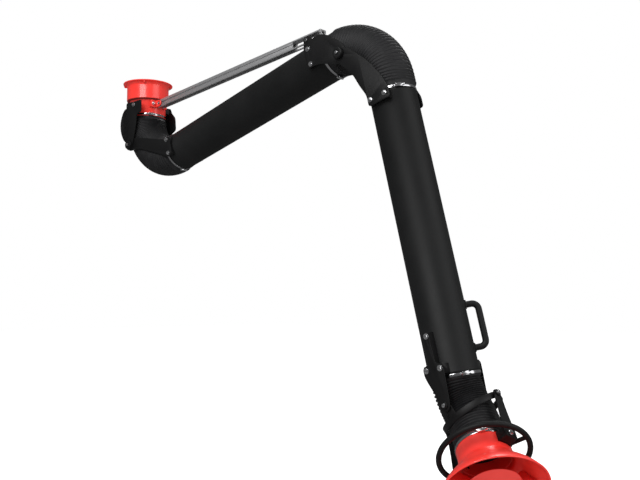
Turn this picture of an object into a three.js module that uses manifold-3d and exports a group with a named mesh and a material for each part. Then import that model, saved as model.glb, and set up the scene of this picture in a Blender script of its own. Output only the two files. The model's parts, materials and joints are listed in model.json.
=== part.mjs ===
// Fume extraction arm: a red mounting flange and swivel, two black duct tubes with ribbed hose at every joint,
// an aluminium stay rail over the upper tube, and a red suction hood on a gimbal. Millimetres, +Z up.
// The origin is the centre of the mounting flange's top face.
// The arm hangs in the XZ plane, reaching out along +X.
import * as THREE from "three";
import { mergeVertices } from "three/addons/utils/BufferGeometryUtils.js";
import Module from "manifold-3d";

const wasm = await Module();
wasm.setup();

// Duct and hose
const TUBE_R = 80;
const TUBE_WALL = 1.5;
const HOSE_RIB_R = 86;
const HOOD_HOSE_RIB_R = 79;
const RIB_DEPTH = 3.5;
const HOSE_WALL = 4;
const RIB_PITCH = 10.5;
const RING_POINTS = 8;
const RIBS_PER_BORE_RING = 5;
const ROUND_SEGMENTS = 28;
const FIT_GAP = 0.4;

// Mounting flange and swivel collar
const FLANGE_R = 110;
const FLANGE_THICK = 6;
const RIM_THICK = 3;
const FLARE_R = 15;
const SLEEVE_R = 93;
const SLEEVE_INNER_R = 90;
const SEAM_Z = -79;
const COLLAR_END_Z = -157;
const FLANGE_BOLT_CIRCLE_R = 102;
const FLANGE_HEAD_R = 5.6;
const FLANGE_BOLTS = 4;

// Joints: the base pivot hangs on the swivel axis, the others are given along and above the section before them
const BASE_PIVOT_Z = -290;
const TUBE_1_ELEVATION = THREE.MathUtils.degToRad(14.9);
const TUBE_1_AXIS_Z = -110;
const TUBE_1_START = 221;
const TUBE_1_END = 1151;
const ELBOW_X = 1232;
const ELBOW_Z = -167;
const ELBOW_TURN = THREE.MathUtils.degToRad(91);
const TUBE_2_AXIS_Z = 115;
const TUBE_2_START = 184;
const TUBE_2_END = 1156;
const GIMBAL_X = 1232;
const GIMBAL_Z = 129;
const GIMBAL_TILT = THREE.MathUtils.degToRad(26.1);
const HOOD_TILT = THREE.MathUtils.degToRad(31);
const BASE_BEND_R = 180;
const ELBOW_BEND_R = 190;

// Plates: the inner and outer layers of a side joint lie this far from the arm's middle plane
const PLATE = 4;
const INNER_PLATE_Y = 88.5;
const OUTER_PLATE_Y = 93;
const GIMBAL_PLATE_Y = 107;
const STUD_R = 4;
const STUD_HOLE_R = 4.6;
const HEAD_R = 7;
const HEAD_THICK = 6;
const KNOB_R = 20;
const BASE_KNOB_HIGH = 9;
const ELBOW_KNOB_HIGH = 16;
const PIVOT_NUT_R = 11;

// Stay rail: hinged on the swivel collar, sliding on a cross pin over the far end of tube 1
const RAIL_HINGE_X = 112;
const RAIL_HINGE_Z = -104;
const RAIL_ANGLE = THREE.MathUtils.degToRad(5.9);
const RAIL_LENGTH = 968;
const RAIL_HEIGHT = 33;
const RAIL_WIDTH = 30;
const RAIL_PIN_REACH = 900;
const RAIL_PIN_RISE = -6;
const RAIL_SLOT_START = 822;
const RAIL_SLOT_END = 958;
const RAIL_SLOT_HEIGHT = 23;

// Hood, measured along its own axis from the middle of the gimbal ring, which stands ahead of the first pivot
const RING_OFFSET = 45;
const NECK_START = 123;
const NECK_R = 80;
const FLARE_START = 188;
const RIM_X = 282;
const RIM_R = 156;
const HOOD_WALL = 2;
const BAFFLE_X = 264;
const BAFFLE_R = 81;
const BAFFLE_FINS = 2;
const BAFFLE_FIN_START = THREE.MathUtils.degToRad(121.5);
const RING_HANDLE_X = 152;
const RING_HANDLE_R = 134;
const RING_HANDLE_BAR_R = 8.5;
const RING_SPOKE_R = 6.5;
const RING_SPOKE_ANGLES = [216, 336];

// Bow handle on tube 2
const HANDLE_START = 936;
const HANDLE_END = 1074;
const HANDLE_STAND = 50;
const HANDLE_BAR_R = 10.5;
const HANDLE_TURN = THREE.MathUtils.degToRad(-40);

const blackPaint = new THREE.MeshStandardMaterial({ color: 0x1c1c1e, roughness: 0.5, metalness: 0.1 });
const blackSteel = new THREE.MeshStandardMaterial({ color: 0x141415, roughness: 0.42, metalness: 0.3 });
const rubber = new THREE.MeshStandardMaterial({ color: 0x161617, roughness: 0.72, metalness: 0 });
const redPaint = new THREE.MeshStandardMaterial({ color: 0xd8301f, roughness: 0.35, metalness: 0 });
const zincSteel = new THREE.MeshStandardMaterial({ color: 0xc9ccd0, roughness: 0.28, metalness: 1 });
const aluminium = new THREE.MeshStandardMaterial({ color: 0x9c9ea0, roughness: 0.38, metalness: 0.9 });
const slidePlastic = new THREE.MeshStandardMaterial({ color: 0x6e1712, roughness: 0.6, metalness: 0 });

// A geometry with shared vertices and its faces pointing out.
function weld(geometry) {
  const bare = geometry.clone();
  bare.deleteAttribute("normal");
  bare.deleteAttribute("uv");
  const merged = mergeVertices(bare, 1e-4);
  const p = merged.attributes.position;
  const index = Array.from(merged.index.array);
  const [a, b, c] = [new THREE.Vector3(), new THREE.Vector3(), new THREE.Vector3()];
  const kept = [];
  let volume = 0;
  for (let i = 0; i < index.length; i += 3) {
    const [ia, ib, ic] = index.slice(i, i + 3);
    if (ia === ib || ib === ic || ia === ic) continue;
    kept.push(ia, ib, ic);
    a.fromBufferAttribute(p, ia);
    b.fromBufferAttribute(p, ib);
    c.fromBufferAttribute(p, ic);
    volume += a.dot(b.cross(c));
  }
  merged.setIndex(volume < 0 ? kept.reverse() : kept);
  return merged;
}

function toSolid(geometry) {
  const welded = weld(geometry);
  return new wasm.Manifold(new wasm.Mesh({
    numProp: 3,
    vertProperties: new Float32Array(welded.attributes.position.array),
    triVerts: new Uint32Array(welded.index.array),
  }));
}

function toGeometry(solid) {
  const mesh = solid.getMesh();
  const geometry = new THREE.BufferGeometry();
  geometry.setAttribute("position", new THREE.BufferAttribute(new Float32Array(mesh.vertProperties), 3));
  geometry.setIndex(Array.from(mesh.triVerts));
  return geometry;
}

const join = (...geometries) => toGeometry(geometries.map(toSolid).reduce((all, next) => all.add(next)));
const cut = (body, ...tools) => (
  toGeometry(tools.map(toSolid).reduce((left, tool) => left.subtract(tool), toSolid(body))));

function add(group, name, geometry, material) {
  const mesh = new THREE.Mesh(weld(geometry), material);
  mesh.name = name;
  group.add(mesh);
  return mesh;
}

// Turned shapes: a profile of [along, radius] pairs revolved about the X axis.
function turned(profile, segments) {
  const points = profile.map(([along, radius]) => new THREE.Vector2(radius, along));
  return new THREE.LatheGeometry(points, segments).rotateZ(-Math.PI / 2);
}

function tubeRing(start, end, innerR, outerR, segments = ROUND_SEGMENTS) {
  return turned([[start, innerR], [end, innerR], [end, outerR], [start, outerR], [start, innerR]], segments);
}

function rod(start, end, radius, segments = 12) {
  return turned([[start, 0], [start, radius], [end, radius], [end, 0]], segments);
}

// Turns a shape made along X so that it runs along Y, out of the front (-1) or the rear (+1) of the arm's plane.
const alongY = (geometry, side) => geometry.rotateZ(side * Math.PI / 2);

function box(x0, x1, y0, y1, z0, z1) {
  const size = new THREE.BoxGeometry(x1 - x0, y1 - y0, z1 - z0);
  return size.translate((x0 + x1) / 2, (y0 + y1) / 2, (z0 + z1) / 2);
}

// A flat plate in the XZ plane, from an outline of [x, z] points with a corner radius, standing at a side.
function sidePlate(outline, near, thick, side, holes = []) {
  const shape = roundedShape(outline);
  const plate = new THREE.ExtrudeGeometry(shape, { depth: thick, bevelEnabled: false, curveSegments: 3 });
  plate.rotateX(Math.PI / 2);
  plate.translate(0, side < 0 ? -near : near + thick, 0);
  const drill = ([x, z, radius]) => alongY(rod(-150, 150, radius, 8), 1).translate(x, 0, z);
  return cut(plate, ...holes.map(drill));
}

// An outline whose third value at each point is the radius that rounds that corner.
function roundedShape(outline) {
  const shape = new THREE.Shape();
  const count = outline.length;
  outline.forEach(([x, y, wanted = 0], i) => {
    const corner = new THREE.Vector2(x, y);
    const before = new THREE.Vector2(...outline[(i + count - 1) % count].slice(0, 2));
    const after = new THREE.Vector2(...outline[(i + 1) % count].slice(0, 2));
    const radius = Math.min(wanted, 0.48 * corner.distanceTo(before), 0.48 * corner.distanceTo(after));
    const inward = before.sub(corner).normalize();
    const outward = after.sub(corner).normalize();
    const start = corner.clone().addScaledVector(inward, radius);
    const end = corner.clone().addScaledVector(outward, radius);
    if (i === 0) shape.moveTo(start.x, start.y);
    else shape.lineTo(start.x, start.y);
    if (radius > 0) shape.quadraticCurveTo(corner.x, corner.y, end.x, end.y);
  });
  shape.closePath();
  return shape;
}

// One stud along Y at a side, standing at [x, z] in the plate's plane, with its head outside a bracket.
function stud([x, z], insideY, headY, side) {
  const shape = turned([
    [insideY, 0], [insideY, STUD_R], [headY, STUD_R], [headY, HEAD_R], [headY + HEAD_THICK, HEAD_R],
    [headY + HEAD_THICK, 0]], 6);
  return alongY(shape, side).translate(x, 0, z);
}

// A row of studs welded to a backing strip inside a tube.
function studs(places, insideY, headY, side) {
  const xs = places.map((place) => place[0]);
  const zs = places.map((place) => place[1]);
  const [y0, y1] = side < 0 ? [-insideY - 2, -insideY + 3] : [insideY - 3, insideY + 2];
  const strip = box(Math.min(...xs) - 8, Math.max(...xs) + 8, y0, y1, Math.min(...zs) - 8, Math.max(...zs) + 8);
  return join(strip, ...places.map((place) => stud(place, insideY, headY, side)));
}

// A backing band inside a tube with studs through both sides of the tube's wall.
function studBand(places, axisZ, headY) {
  const x = places[0][0];
  const bandR = TUBE_R - TUBE_WALL - 2;
  const band = tubeRing(x - 9, x + 9, bandR - 4, bandR, 20).translate(0, 0, axisZ);
  const all = SIDES.flatMap(([, side]) => places.map((place) => stud(place, 66, headY, side)));
  return join(band, ...all);
}

// A pivot bolt: shank through two plates, a broad knurled knob outside and a nut inside.
function pivotBolt(innerY, outerY, side, knobLength) {
  const nut = 2.6;
  const shape = turned([
    [innerY - nut - FIT_GAP, 0], [innerY - nut - FIT_GAP, HEAD_R + 2], [innerY - FIT_GAP, HEAD_R + 2],
    [innerY - FIT_GAP, STUD_R], [outerY + FIT_GAP, STUD_R], [outerY + FIT_GAP, KNOB_R],
    [outerY + knobLength, KNOB_R], [outerY + knobLength, STUD_R + 2],
    [outerY + knobLength + 4, STUD_R + 2], [outerY + knobLength + 4, 0]], 10);
  return alongY(shape, side);
}

// A ribbed hose: rings of points along a path, raised at each rib, with a smooth bore of fewer rings.
function ribbedHose(pointAt, tangentAt, length, crossAxis, ribR) {
  const ribs = Math.round(length / RIB_PITCH);
  const positions = [];
  const index = [];
  const ring = (along, radius) => {
    const centre = pointAt(along);
    const aim = tangentAt(along);
    const across = new THREE.Vector3().crossVectors(aim, crossAxis).normalize();
    const second = new THREE.Vector3().crossVectors(across, aim);
    const first = positions.length / 3;
    for (let k = 0; k < RING_POINTS; k += 1) {
      const turn = (2 * Math.PI * (k + 0.5)) / RING_POINTS;
      const point = centre.clone().addScaledVector(across, radius * Math.cos(turn));
      point.addScaledVector(second, radius * Math.sin(turn));
      positions.push(point.x, point.y, point.z);
    }
    return first;
  };
  const bridge = (one, two) => {
    for (let k = 0; k < RING_POINTS; k += 1) {
      const next = (k + 1) % RING_POINTS;
      index.push(one + k, one + next, two + next, one + k, two + next, two + k);
    }
  };
  const rings = [];
  for (let rib = 0; rib < ribs; rib += 1) {
    rings.push(ring((length * rib) / ribs, ribR - RIB_DEPTH));
    rings.push(ring((length * (rib + 0.5)) / ribs, ribR));
  }
  rings.push(ring(length, ribR - RIB_DEPTH));
  const boreSteps = Math.ceil(ribs / RIBS_PER_BORE_RING);
  const boreR = ribR - RIB_DEPTH - HOSE_WALL;
  for (let step = boreSteps; step >= 0; step -= 1) rings.push(ring((length * step) / boreSteps, boreR));
  rings.forEach((start, i) => bridge(start, rings[(i + 1) % rings.length]));
  const hose = new THREE.BufferGeometry();
  hose.setAttribute("position", new THREE.BufferAttribute(new Float32Array(positions), 3));
  hose.setIndex(index);
  hose.setAttribute("normal", new THREE.BufferAttribute(new Float32Array(positions.length), 3));
  hose.setAttribute("uv", new THREE.BufferAttribute(new Float32Array((positions.length / 3) * 2), 2));
  return hose;
}

function hoseAlong(path, crossAxis, ribR = HOSE_RIB_R) {
  const length = path.getLength();
  const pointAt = (along) => path.getPointAt(Math.min(1, along / length));
  const tangentAt = (along) => path.getTangentAt(Math.min(1, along / length));
  return ribbedHose(pointAt, tangentAt, length, crossAxis, ribR);
}

// A straight lead-in, a round bend about the Y axis and a straight lead-out, in the XZ plane.
function bendPath(start, direction, leadIn, bendR, turn, leadOut) {
  const side = new THREE.Vector3(direction.z, 0, -direction.x).multiplyScalar(Math.sign(turn));
  const bendStart = start.clone().addScaledVector(direction, leadIn);
  const centre = bendStart.clone().addScaledVector(side, bendR);
  const path = new THREE.CurvePath();
  path.add(new THREE.LineCurve3(start, bendStart));
  const arcSteps = 24;
  const arc = [];
  for (let i = 0; i <= arcSteps; i += 1) {
    const angle = (Math.abs(turn) * i) / arcSteps;
    const point = centre.clone().addScaledVector(side, -bendR * Math.cos(angle));
    arc.push(point.addScaledVector(direction, bendR * Math.sin(angle)));
  }
  const bend = new THREE.CatmullRomCurve3(arc);
  path.add(bend);
  const out = direction.clone().multiplyScalar(Math.cos(turn)).addScaledVector(side, Math.sin(Math.abs(turn)));
  path.add(new THREE.LineCurve3(arc[arcSteps], arc[arcSteps].clone().addScaledVector(out, leadOut)));
  return path;
}

// Groups: each section hangs on the one before it, at its pivot and at its angle in the resting pose
const arm = new THREE.Group();
const swivel = new THREE.Group();
arm.add(swivel);
const rail = new THREE.Group();
rail.position.set(RAIL_HINGE_X, 0, RAIL_HINGE_Z);
rail.rotation.y = -RAIL_ANGLE;
swivel.add(rail);
const armOne = new THREE.Group();
armOne.position.set(0, 0, BASE_PIVOT_Z);
armOne.rotation.y = -TUBE_1_ELEVATION;
swivel.add(armOne);
const armTwo = new THREE.Group();
armTwo.position.set(ELBOW_X, 0, ELBOW_Z);
armTwo.rotation.y = ELBOW_TURN;
armOne.add(armTwo);
const gimbal = new THREE.Group();
gimbal.position.set(GIMBAL_X, 0, GIMBAL_Z);
gimbal.rotation.y = -GIMBAL_TILT;
armTwo.add(gimbal);
const hood = new THREE.Group();
hood.position.set(RING_OFFSET, 0, 0);
hood.rotation.z = -HOOD_TILT;
gimbal.add(hood);
arm.updateMatrixWorld(true);

const SIDES = [["front", -1], ["rear", 1]];
const Y_AXIS = new THREE.Vector3(0, 1, 0);
const upright = (geometry) => geometry.rotateY(Math.PI / 2);

// Mounting flange: a flat ring that curves into the sleeve the collar turns in
function mountingFlange() {
  const profile = [[0, SLEEVE_INNER_R], [0, FLANGE_R], [RIM_THICK, FLANGE_R]];
  const curveSteps = 4;
  for (let i = 0; i <= curveSteps; i += 1) {
    const angle = (Math.PI / 2) * (i / curveSteps);
    const depth = RIM_THICK + 2 + FLARE_R * (1 - Math.cos(angle));
    profile.push([depth, SLEEVE_R + FLARE_R * (1 - Math.sin(angle))]);
  }
  profile.push([-SEAM_Z, SLEEVE_R], [-SEAM_Z, SLEEVE_INNER_R], [0, SLEEVE_INNER_R]);
  const body = upright(turned(profile, ROUND_SEGMENTS));
  const holes = [];
  for (let i = 0; i < FLANGE_BOLTS; i += 1) {
    holes.push(upright(rod(-10, 30, STUD_HOLE_R, 8)).translate(...boltPlace(i)));
    holes.push(upright(rod(FLANGE_THICK, 30, HEAD_R, 12)).translate(...boltPlace(i)));
  }
  return cut(body, ...holes);
}

function boltPlace(i) {
  const angle = (2 * Math.PI * (i + 0.5)) / FLANGE_BOLTS;
  return [FLANGE_BOLT_CIRCLE_R * Math.cos(angle), FLANGE_BOLT_CIRCLE_R * Math.sin(angle), 0];
}

function flangeBolt() {
  const head = FLANGE_THICK + FIT_GAP;
  return upright(turned([
    [0.5, 0], [0.5, STUD_R], [head, STUD_R], [head, FLANGE_HEAD_R], [head + HEAD_THICK, FLANGE_HEAD_R],
    [head + HEAD_THICK, 0]], 8));
}

add(arm, "mounting_flange", mountingFlange(), redPaint);
for (let i = 0; i < FLANGE_BOLTS; i += 1) {
  add(arm, `flange_bolt_${i + 1}`, flangeBolt().translate(...boltPlace(i)), redPaint);
}
const SLIDE_R = TUBE_R + 1;
const slideRing = turned([
  [50, SLIDE_R], [-SEAM_Z + 3, SLIDE_R], [-SEAM_Z + 3, SLEEVE_R], [-SEAM_Z + FIT_GAP, SLEEVE_R],
  [-SEAM_Z + FIT_GAP, SLEEVE_INNER_R - FIT_GAP], [50, SLEEVE_INNER_R - FIT_GAP], [50, SLIDE_R],
], ROUND_SEGMENTS);
add(arm, "slide_ring", upright(slideRing), slidePlastic);

// Swivel collar: its top lip rests on the slide ring; the fork plates and the rail's clevis are bolted to it
const FORK_BOLT_X = 29;
const FORK_BOLT_Z = -112;
const COLLAR_INNER_R = TUBE_R - TUBE_WALL;
const collarBody = upright(turned([
  [40, COLLAR_INNER_R], [40, SLEEVE_INNER_R - 1], [49.5, SLEEVE_INNER_R - 1], [49.5, TUBE_R],
  [-COLLAR_END_Z, TUBE_R], [-COLLAR_END_Z, COLLAR_INNER_R], [40, COLLAR_INNER_R]], ROUND_SEGMENTS));
const forkHole = alongY(rod(-100, 100, STUD_HOLE_R, 8), 1).translate(FORK_BOLT_X, 0, FORK_BOLT_Z);
const CLEVIS_STUD_Y = 30;
const clevisHole = (side) => rod(0, 120, STUD_HOLE_R, 8).translate(0, side * CLEVIS_STUD_Y, RAIL_HINGE_Z);
const clevisHoles = [-1, 1].map(clevisHole);
add(swivel, "swivel_collar", cut(collarBody, forkHole, ...clevisHoles), redPaint);
add(swivel, "collar_clamp", upright(tubeRing(145, 156, TUBE_R + FIT_GAP, TUBE_R + 2)), zincSteel);

const saddleTool = (start, end, radius = TUBE_R) => rod(start, end, radius + 1, 36);
const forkFoot = [
  [26, BASE_PIVOT_Z + 6, 20], [14, BASE_PIVOT_Z - 24, 14], [-14, BASE_PIVOT_Z - 24, 14],
  [-26, BASE_PIVOT_Z + 6, 20]];
const forkHead = {
  front: [[-26, -98, 8], [82, -98, 8], [84, -152, 10], [50, -158, 14], [44, -216, 30]],
  rear: [[-26, -98, 8], [44, -98, 8], [54, -122, 12], [80, -146, 12], [86, -206, 12], [40, -226, 30]] };
const leafOutline = [
  [93, -122, 6], [104, -126, 10], [116, -148, 24], [125, -182, 40], [127, -212, 40], [121, -246, 30],
  [106, -272, 12], [93, -278, 6]];
for (const [word, side] of SIDES) {
  const forkOutline = [...forkHead[word], ...forkFoot];
  const plate = sidePlate(forkOutline, OUTER_PLATE_Y, PLATE, side, [[0, BASE_PIVOT_Z, STUD_HOLE_R]]);
  const [foot0, foot1] = side < 0 ? [-OUTER_PLATE_Y - 1, -50] : [50, OUTER_PLATE_Y + 1];
  const foot = box(-24, 40, foot0, foot1, FORK_BOLT_Z - 14, FORK_BOLT_Z + 13);
  const leaf = leafOutline.map(([y, z, radius]) => [side * y, z, radius]);
  const edgeFlange = sidePlate(leaf, 22, PLATE, 1).rotateZ(Math.PI / 2);
  const fork = cut(join(plate, foot, edgeFlange), upright(saddleTool(60, 200)), forkHole);
  add(swivel, `fork_plate_${word}`, fork, blackSteel);
  const forkBolt = studs([[FORK_BOLT_X, FORK_BOLT_Z]], 66, OUTER_PLATE_Y + PLATE + FIT_GAP, side);
  add(swivel, `fork_bolt_${word}`, forkBolt, zincSteel);
}

// Rail clevis on the collar's outer side
const CHEEK_Y = RAIL_WIDTH / 2 + 1;
const cheekOutline = [[-32, -15, 3], [4, -15, 12], [16, 0, 10], [4, 15, 12], [-32, 15, 3]];
function clevis() {
  const cheeks = [-1, 1].map((side) => sidePlate(cheekOutline, CHEEK_Y, PLATE, side, [[0, 0, STUD_HOLE_R]]));
  const foot = box(-60, -26, -42, 42, -15, 15);
  const block = join(...cheeks, foot).translate(RAIL_HINGE_X, 0, RAIL_HINGE_Z);
  return cut(block, upright(saddleTool(60, 200)), ...clevisHoles);
}
add(swivel, "rail_clevis", clevis(), redPaint);
const clevisHeadX = RAIL_HINGE_X - 26 + FIT_GAP;
const clevisBolts = [-1, 1].map((side) => turned([
  [60, 0], [60, STUD_R], [clevisHeadX, STUD_R], [clevisHeadX, HEAD_R], [clevisHeadX + HEAD_THICK, HEAD_R],
  [clevisHeadX + HEAD_THICK, 0]], 8).translate(0, side * CLEVIS_STUD_Y, RAIL_HINGE_Z));
const clevisStrip = box(56, 61, -38, 38, RAIL_HINGE_Z - 8, RAIL_HINGE_Z + 8);
add(swivel, "clevis_bolts", join(...clevisBolts, clevisStrip), zincSteel);
function crossPin(halfLength) {
  const head = halfLength + PLATE + FIT_GAP;
  return alongY(turned([
    [-head - 4, 0], [-head - 4, HEAD_R], [-head, HEAD_R], [-head, STUD_R], [head, STUD_R], [head, HEAD_R],
    [head + 4, HEAD_R], [head + 4, 0]], 10), 1);
}
add(swivel, "rail_hinge_pin", crossPin(CHEEK_Y).translate(RAIL_HINGE_X, 0, RAIL_HINGE_Z), zincSteel);

// Stay rail: an extruded profile, grooved on both sides and open below, with a long slot for the cross pin
function stayRail() {
  const [w, h] = [RAIL_WIDTH / 2, RAIL_HEIGHT / 2];
  const groove = 3;
  const half = [[w, -h], [w, -5], [w - groove, -3], [w - groove, 3], [w, 5], [w, h]];
  const mirrored = half.map(([y, z]) => [-y, z]).reverse();
  const channel = [[-w + 7, -h], [-w + 7, h - 6], [w - 7, h - 6], [w - 7, -h]];
  const section = roundedShape([...half, ...mirrored, ...channel]);
  const start = -16;
  const bar = new THREE.ExtrudeGeometry(section, { depth: RAIL_LENGTH - start, bevelEnabled: false });
  bar.rotateZ(Math.PI / 2).rotateY(Math.PI / 2).translate(start, 0, 0);
  const slotR = RAIL_SLOT_HEIGHT / 2;
  const slotOutline = [
    [RAIL_SLOT_START, -slotR, 6], [RAIL_SLOT_END, -slotR, 6],
    [RAIL_SLOT_END, slotR, 6], [RAIL_SLOT_START, slotR, 6]];
  const slot = sidePlate(slotOutline, -RAIL_WIDTH, 2 * RAIL_WIDTH, 1);
  return cut(bar, slot, alongY(rod(-40, 40, STUD_HOLE_R, 8), 1), ...adjusterHoles());
}
const ADJUSTERS = [690, 712];
const adjusterHoles = () => ADJUSTERS.map((x) => upright(rod(-40, 0, STUD_HOLE_R, 8)).translate(x, 0, 0));
function railAdjuster() {
  const top = RAIL_HEIGHT / 2 + FIT_GAP;
  const bolts = ADJUSTERS.map((x) => upright(turned([
    [-top - HEAD_THICK - 3, 0], [-top - HEAD_THICK - 3, HEAD_R - 1], [-top, HEAD_R - 1],
    [-top, STUD_R], [2, STUD_R],
    [2, 0]], 8)).translate(x, 0, 0));
  return join(...bolts, box(ADJUSTERS[0] - 14, ADJUSTERS[1] + 14, -7, 7, -5, 5));
}
add(rail, "stay_rail", stayRail(), aluminium);
add(rail, "rail_adjuster", railAdjuster(), zincSteel);

// Upper section: tube 1 with its base straps, elbow plates, clamps and the rail's guide bracket
const STRAP_BOLT_X = 250;
const STRAP_BOLT_SPREAD = 30;
const ELBOW_BOLT_X = 1096;
const tubeOneBolts = [];
for (const x of [STRAP_BOLT_X, ELBOW_BOLT_X]) {
  for (const dz of [-STRAP_BOLT_SPREAD, STRAP_BOLT_SPREAD]) tubeOneBolts.push([x, TUBE_1_AXIS_Z + dz]);
}
const boltsAt = (x) => tubeOneBolts.filter((bolt) => bolt[0] === x);
const boltHole = ([x, z]) => alongY(rod(-140, 140, STUD_HOLE_R, 8), 1).translate(x, 0, z);
const GUIDE_X = railPinPlace().x;
const GUIDE_Z = railPinPlace().z;
const tubeOneAxis = (geometry) => geometry.translate(0, 0, TUBE_1_AXIS_Z);
const tubeOne = tubeOneAxis(tubeRing(TUBE_1_START, TUBE_1_END, TUBE_R - TUBE_WALL, TUBE_R));
add(armOne, "tube_1", cut(tubeOne, ...tubeOneBolts.map(boltHole)), blackPaint);
const clampRing = (start) => tubeRing(start, start + 11, TUBE_R + FIT_GAP, TUBE_R + 2);
add(armOne, "tube_1_base_clamp", tubeOneAxis(clampRing(TUBE_1_START + 1)), zincSteel);
add(armOne, "tube_1_elbow_clamp", tubeOneAxis(clampRing(TUBE_1_END - 12)), zincSteel);

// Where the cross pin stands in the upper section's frame, worked out from the rail's line
function railPinPlace() {
  const onRail = new THREE.Vector3(RAIL_PIN_REACH, 0, RAIL_PIN_RISE);
  return armOne.worldToLocal(rail.localToWorld(onRail));
}

const strapOutline = [
  [-24, -6, 16], [4, 26, 16], [60, 12, 30], [234, -72, 8], [272, -72, 10], [272, -148, 10], [234, -148, 14],
  [60, -40, 40], [-10, -26, 16]];
const elbowPlateOutline = [
  [1078, -152, 10], [1078, -74, 10], [1098, -66, 20], [1124, -52, 44], [1170, -54, 54], [1216, -92, 44],
  [1256, -144, 28], [1260, -192, 22], [1216, -200, 24], [1150, -164, 30], [1112, -152, 10]];
for (const [word, side] of SIDES) {
  const [near, far] = side < 0 ? [-INNER_PLATE_Y - 1, -40] : [40, INNER_PLATE_Y + 1];
  const footAt = (x0, x1) => box(x0, x1, near, far, TUBE_1_AXIS_Z - 38, TUBE_1_AXIS_Z + 38);
  const saddle = () => tubeOneAxis(saddleTool(TUBE_1_START - 20, TUBE_1_END + 20));
  const strap = join(sidePlate(strapOutline, INNER_PLATE_Y, PLATE, side), footAt(235, 271));
  const pivotHole = alongY(rod(-110, 110, STUD_HOLE_R, 8), 1);
  const strapHoles = boltsAt(STRAP_BOLT_X).map(boltHole);
  add(armOne, `base_strap_${word}`, cut(strap, saddle(), pivotHole, ...strapHoles), blackSteel);
  const pivot = pivotBolt(INNER_PLATE_Y, OUTER_PLATE_Y + PLATE, side, BASE_KNOB_HIGH);
  add(armOne, `base_pivot_${word}`, pivot, blackSteel);
  const elbowPlate = join(sidePlate(elbowPlateOutline, INNER_PLATE_Y, PLATE, side), footAt(1079, 1114));
  const elbowHole = pivotHole.clone().translate(ELBOW_X, 0, ELBOW_Z);
  const elbowHoles = [elbowHole, ...boltsAt(ELBOW_BOLT_X).map(boltHole)];
  add(armOne, `elbow_plate_${word}`, cut(elbowPlate, saddle(), ...elbowHoles), blackSteel);
}
const tubeOneBand = (x) => studBand(boltsAt(x), TUBE_1_AXIS_Z, INNER_PLATE_Y + PLATE + FIT_GAP);
add(armOne, "base_strap_studs", tubeOneBand(STRAP_BOLT_X), zincSteel);
add(armOne, "elbow_plate_studs", tubeOneBand(ELBOW_BOLT_X), zincSteel);

// Guide bracket: two cheeks on a saddle over tube 1, holding the cross pin that the rail slides on
function guideBracket() {
  const top = GUIDE_Z + 13;
  const foot = TUBE_1_AXIS_Z + 60;
  const outline = [
    [GUIDE_X - 30, foot], [GUIDE_X - 13, top, 12], [GUIDE_X + 13, top, 12], [GUIDE_X + 56, foot]];
  const pinHole = [GUIDE_X, GUIDE_Z, STUD_HOLE_R];
  const cheeks = [-1, 1].map((side) => sidePlate(outline, CHEEK_Y, PLATE, side, [pinHole]));
  const saddle = box(GUIDE_X - 30, GUIDE_X + 56, -CHEEK_Y - 1, CHEEK_Y + 1, foot, TUBE_1_AXIS_Z + TUBE_R + 5);
  return cut(join(...cheeks, saddle), tubeOneAxis(saddleTool(TUBE_1_START, TUBE_1_END)));
}
add(armOne, "rail_guide_bracket", guideBracket(), blackSteel);
add(armOne, "rail_guide_pin", crossPin(CHEEK_Y).translate(GUIDE_X, 0, GUIDE_Z), zincSteel);

// Lower section: tube 2 with its elbow straps, hood brackets, clamps and bow handle
const ELBOW_STRAP_BOLT_X = 213;
const HOOD_BRACKET_BOLT_X = 1122;
const HOOD_BRACKET_TOP_X = 1020;
const tubeTwoAxis = (geometry) => geometry.translate(0, 0, TUBE_2_AXIS_Z);
const elbowStrapBolts = [-30, 30].map((dz) => [ELBOW_STRAP_BOLT_X, TUBE_2_AXIS_Z + dz]);
const hoodBracketBolts = [
  [HOOD_BRACKET_TOP_X, TUBE_2_AXIS_Z], [HOOD_BRACKET_BOLT_X, TUBE_2_AXIS_Z - 25],
  [HOOD_BRACKET_BOLT_X, TUBE_2_AXIS_Z + 25]];
const tubeTwo = tubeTwoAxis(tubeRing(TUBE_2_START, TUBE_2_END, TUBE_R - TUBE_WALL, TUBE_R));
const tubeTwoHoles = [...elbowStrapBolts, ...hoodBracketBolts].map(boltHole);
add(armTwo, "tube_2", cut(tubeTwo, ...tubeTwoHoles), blackPaint);
add(armTwo, "tube_2_elbow_clamp", tubeTwoAxis(clampRing(TUBE_2_START + 1)), zincSteel);
add(armTwo, "tube_2_hood_clamp", tubeTwoAxis(clampRing(TUBE_2_END - 12)), zincSteel);

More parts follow.
